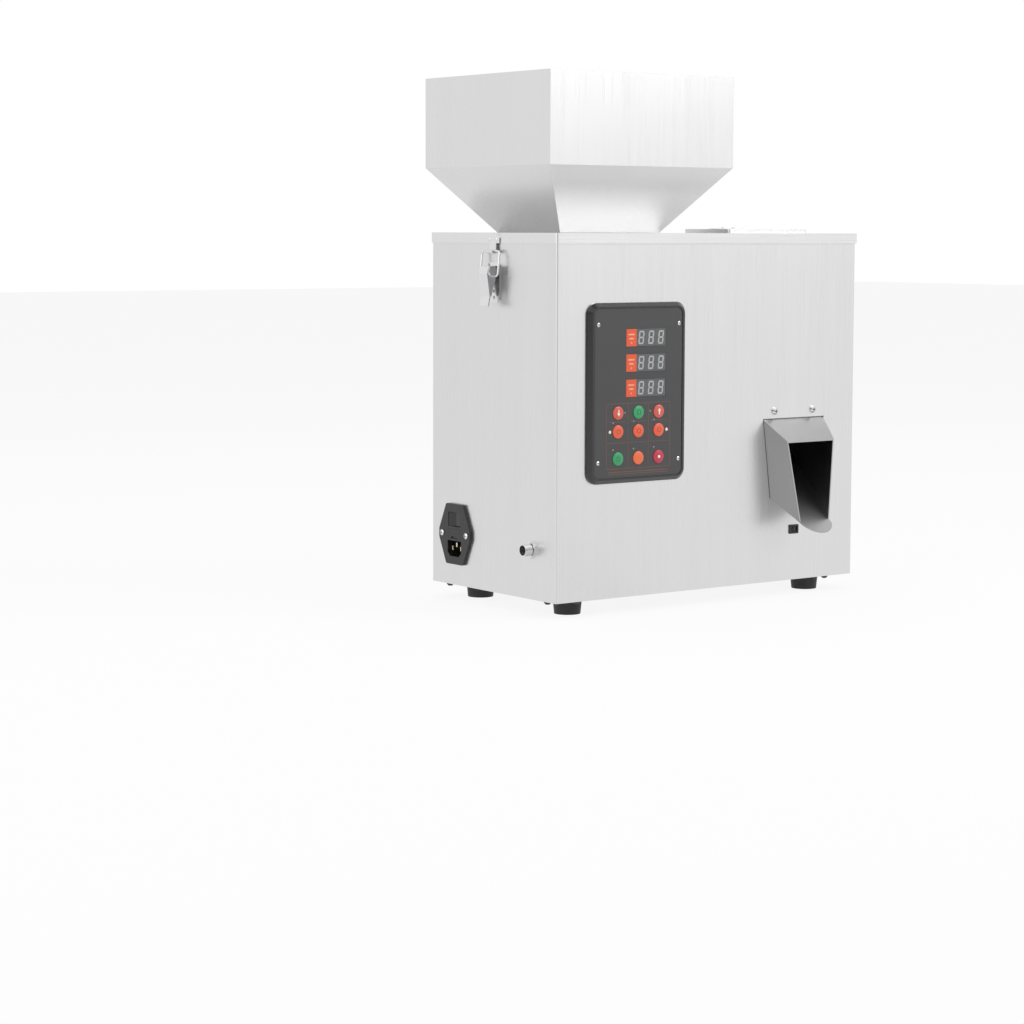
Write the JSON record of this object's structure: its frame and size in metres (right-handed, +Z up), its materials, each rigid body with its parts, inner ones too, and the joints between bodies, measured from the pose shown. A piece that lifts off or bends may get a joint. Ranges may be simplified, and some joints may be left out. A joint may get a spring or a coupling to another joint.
{
  "type": "vibratory weighing powder filler",
  "caption": "Bench-top steel powder filler: offset hopper, vibrating feed tray, weigh bucket with flap, front discharge chute, control panel and latched lid.",
  "frame": {"origin": "on the floor, below the middle of the whole outline", "axes": "+X to the right along the front, +Y to the back, +Z up"},
  "size_m": [0.403, 0.2488, 0.505],
  "materials": {
    "stainless_sheet": "brushed stainless steel sheet",
    "feeder_steel": "smooth stainless steel",
    "plated_steel": "bright plated steel",
    "screw_steel": "plated screws",
    "black_screws": "blackened screws",
    "black_rubber": "matt black rubber",
    "bezel_black": "glossy black moulding",
    "overlay_grey": "printed dark grey overlay",
    "display_face": "grey seven-segment display",
    "lamp_lens": "small lamp lens",
    "circuit_board": "green circuit board",
    "sensor_black": "black sensor housing",
    "inlet_black": "black moulded plastic",
    "blade_brass": "brass blades",
    "connector_chrome": "chromed connector",
    "insert_black": "black insulator",
    "bracket_grey": "grey painted steel",
    "vibrator_iron": "dark cast block",
    "coil_dark": "varnished coil and core",
    "spring_steel": "spring steel",
    "load_cell_aluminium": "machined aluminium",
    "plunger_steel": "turned steel rod",
    "button_red": "glossy coloured key",
    "button_green": "glossy coloured key",
    "button_orange": "glossy coloured key",
    "button_amber": "glossy coloured key"
  },
  "bodies": {
    "case": {"case_wrap": "stainless_sheet", "rear_panel": "stainless_sheet", "rear_screws": "screw_steel", "base_plate": "stainless_sheet", "base_screws": "black_screws", "feet": "black_rubber", "foot_screws": "screw_steel", "panel_bezel": "bezel_black", "panel_overlay": "overlay_grey", "panel_screws": "screw_steel", "displays": "display_face", "indicator_leds": "lamp_lens", "control_board": "circuit_board", "discharge_chute": "stainless_sheet", "chute_screws": "screw_steel", "bag_sensor": "sensor_black", "inlet_housing": "inlet_black", "inlet_pins": "blade_brass", "inlet_screws": "screw_steel", "connector_shell": "connector_chrome", "connector_nut": "connector_chrome", "connector_insert": "insert_black", "latch_bases": "plated_steel", "feeder_stand": "bracket_grey", "vibrator_base": "vibrator_iron", "rubber_mounts": "black_rubber", "magnet": "coil_dark", "leaf_springs": "spring_steel", "load_cell": "load_cell_aluminium", "load_cell_bracket": "bracket_grey", "weigh_bucket": "feeder_steel", "solenoid": "coil_dark", "transformer": "coil_dark"},
    "lid": {"lid": "stainless_sheet", "hopper": "stainless_sheet", "keepers": "plated_steel", "hatch_hinge": "plated_steel", "gate_screw": "screw_steel"},
    "hatch": {"hatch": "stainless_sheet", "hatch_leaf": "plated_steel", "hatch_screws": "screw_steel"},
    "feed_gate": {"feed_gate": "feeder_steel"},
    "feed_tray": {"feed_tray": "feeder_steel"},
    "bucket_flap": {"bucket_flap": "feeder_steel"},
    "plunger": {"plunger": "plunger_steel"},
    "latch_lever_left": {"latch_lever_left": "plated_steel"},
    "latch_lever_right": {"latch_lever_right": "plated_steel"},
    "latch_bail_left": {"latch_bail_left": "plated_steel"},
    "latch_bail_right": {"latch_bail_right": "plated_steel"},
    "power_switch": {"power_switch": "inlet_black"},
    "fuse_drawer": {"fuse_drawer": "inlet_black"},
    "button_1": {"button_1": "button_red"},
    "button_2": {"button_2": "button_green"},
    "button_3": {"button_3": "button_red"},
    "button_4": {"button_4": "button_orange"},
    "button_5": {"button_5": "button_orange"},
    "button_6": {"button_6": "button_orange"},
    "button_7": {"button_7": "button_green"},
    "button_8": {"button_8": "button_amber"},
    "button_9": {"button_9": "button_red"}
  },
  "joints": [
    {"name": "lid_lift", "type": "slide", "parent": "case", "child": "lid", "axis": [0, 0, 1], "range_m": [0, 0.09]},
    {"name": "hatch_hinge", "type": "hinge", "parent": "lid", "child": "hatch", "pos_m": [0.1066, 0.03229, 0.3598], "axis": [-1, 0, 0], "range_deg": [0, 110]},
    {"name": "gate_slide", "type": "slide", "parent": "lid", "child": "feed_gate", "axis": [0, 0, 1], "range_m": [0, 0.007]},
    {"name": "tray_vibration", "type": "slide", "parent": "case", "child": "feed_tray", "axis": [0.9397, 0, 0.342], "range_m": [-0.0008, 0.0008], "stiffness_N_per_m": 30000, "deforming": ["leaf_springs"]},
    {"name": "plunger_stroke", "type": "slide", "parent": "case", "child": "plunger", "axis": [0, 0, 1], "range_m": [0, 0.01183]},
    {"name": "flap_hinge", "type": "hinge", "parent": "case", "child": "bucket_flap", "pos_m": [0.1066, 0.03728, 0.214], "axis": [1, 0, 0], "range_deg": [0, 50], "stiffness_Nm_per_rad": 0.05, "springref_deg": -45.84},
    {"name": "lever_left", "type": "hinge", "parent": "case", "child": "latch_lever_left", "pos_m": [-0.195, 0.01898, 0.321], "axis": [0, 1, 0], "range_deg": [0, 90]},
    {"name": "bail_left", "type": "hinge", "parent": "latch_lever_left", "child": "latch_bail_left", "pos_m": [-0.1944, 0.01898, 0.316], "axis": [0, -1, 0], "range_deg": [0, 76]},
    {"name": "lever_right", "type": "hinge", "parent": "case", "child": "latch_lever_right", "pos_m": [0.195, 0.01898, 0.321], "axis": [0, -1, 0], "range_deg": [0, 90]},
    {"name": "bail_right", "type": "hinge", "parent": "latch_lever_right", "child": "latch_bail_right", "pos_m": [0.1944, 0.01898, 0.316], "axis": [0, 1, 0], "range_deg": [0, 76]},
    {"name": "rocker_turn", "type": "hinge", "parent": "case", "child": "power_switch", "pos_m": [-0.1865, 0.08099, 0.0793], "axis": [0, 0, -1], "range_deg": [0, 20]},
    {"name": "fuse_slide", "type": "slide", "parent": "case", "child": "fuse_drawer", "axis": [-1, 0, 0], "range_m": [0, 0.022]},
    {"name": "button_1_press", "type": "slide", "parent": "case", "child": "button_1", "axis": [0, 1, 0], "range_m": [0, 0.0008], "stiffness_N_per_m": 600},
    {"name": "button_2_press", "type": "slide", "parent": "case", "child": "button_2", "axis": [0, 1, 0], "range_m": [0, 0.0008], "stiffness_N_per_m": 600},
    {"name": "button_3_press", "type": "slide", "parent": "case", "child": "button_3", "axis": [0, 1, 0], "range_m": [0, 0.0008], "stiffness_N_per_m": 600},
    {"name": "button_4_press", "type": "slide", "parent": "case", "child": "button_4", "axis": [0, 1, 0], "range_m": [0, 0.0008], "stiffness_N_per_m": 600},
    {"name": "button_5_press", "type": "slide", "parent": "case", "child": "button_5", "axis": [0, 1, 0], "range_m": [0, 0.0008], "stiffness_N_per_m": 600},
    {"name": "button_6_press", "type": "slide", "parent": "case", "child": "button_6", "axis": [0, 1, 0], "range_m": [0, 0.0008], "stiffness_N_per_m": 600},
    {"name": "button_7_press", "type": "slide", "parent": "case", "child": "button_7", "axis": [0, 1, 0], "range_m": [0, 0.0008], "stiffness_N_per_m": 600},
    {"name": "button_8_press", "type": "slide", "parent": "case", "child": "button_8", "axis": [0, 1, 0], "range_m": [0, 0.0008], "stiffness_N_per_m": 600},
    {"name": "button_9_press", "type": "slide", "parent": "case", "child": "button_9", "axis": [0, 1, 0], "range_m": [0, 0.0008], "stiffness_N_per_m": 600}
  ],
  "couplings": [
    {"joint": "flap_hinge", "follows": "plunger_stroke", "rad_per_m": 73.71},
    {"joint": "bail_left", "follows": "lever_left", "ratio": 0.83},
    {"joint": "bail_right", "follows": "lever_right", "ratio": 0.83}
  ]
}
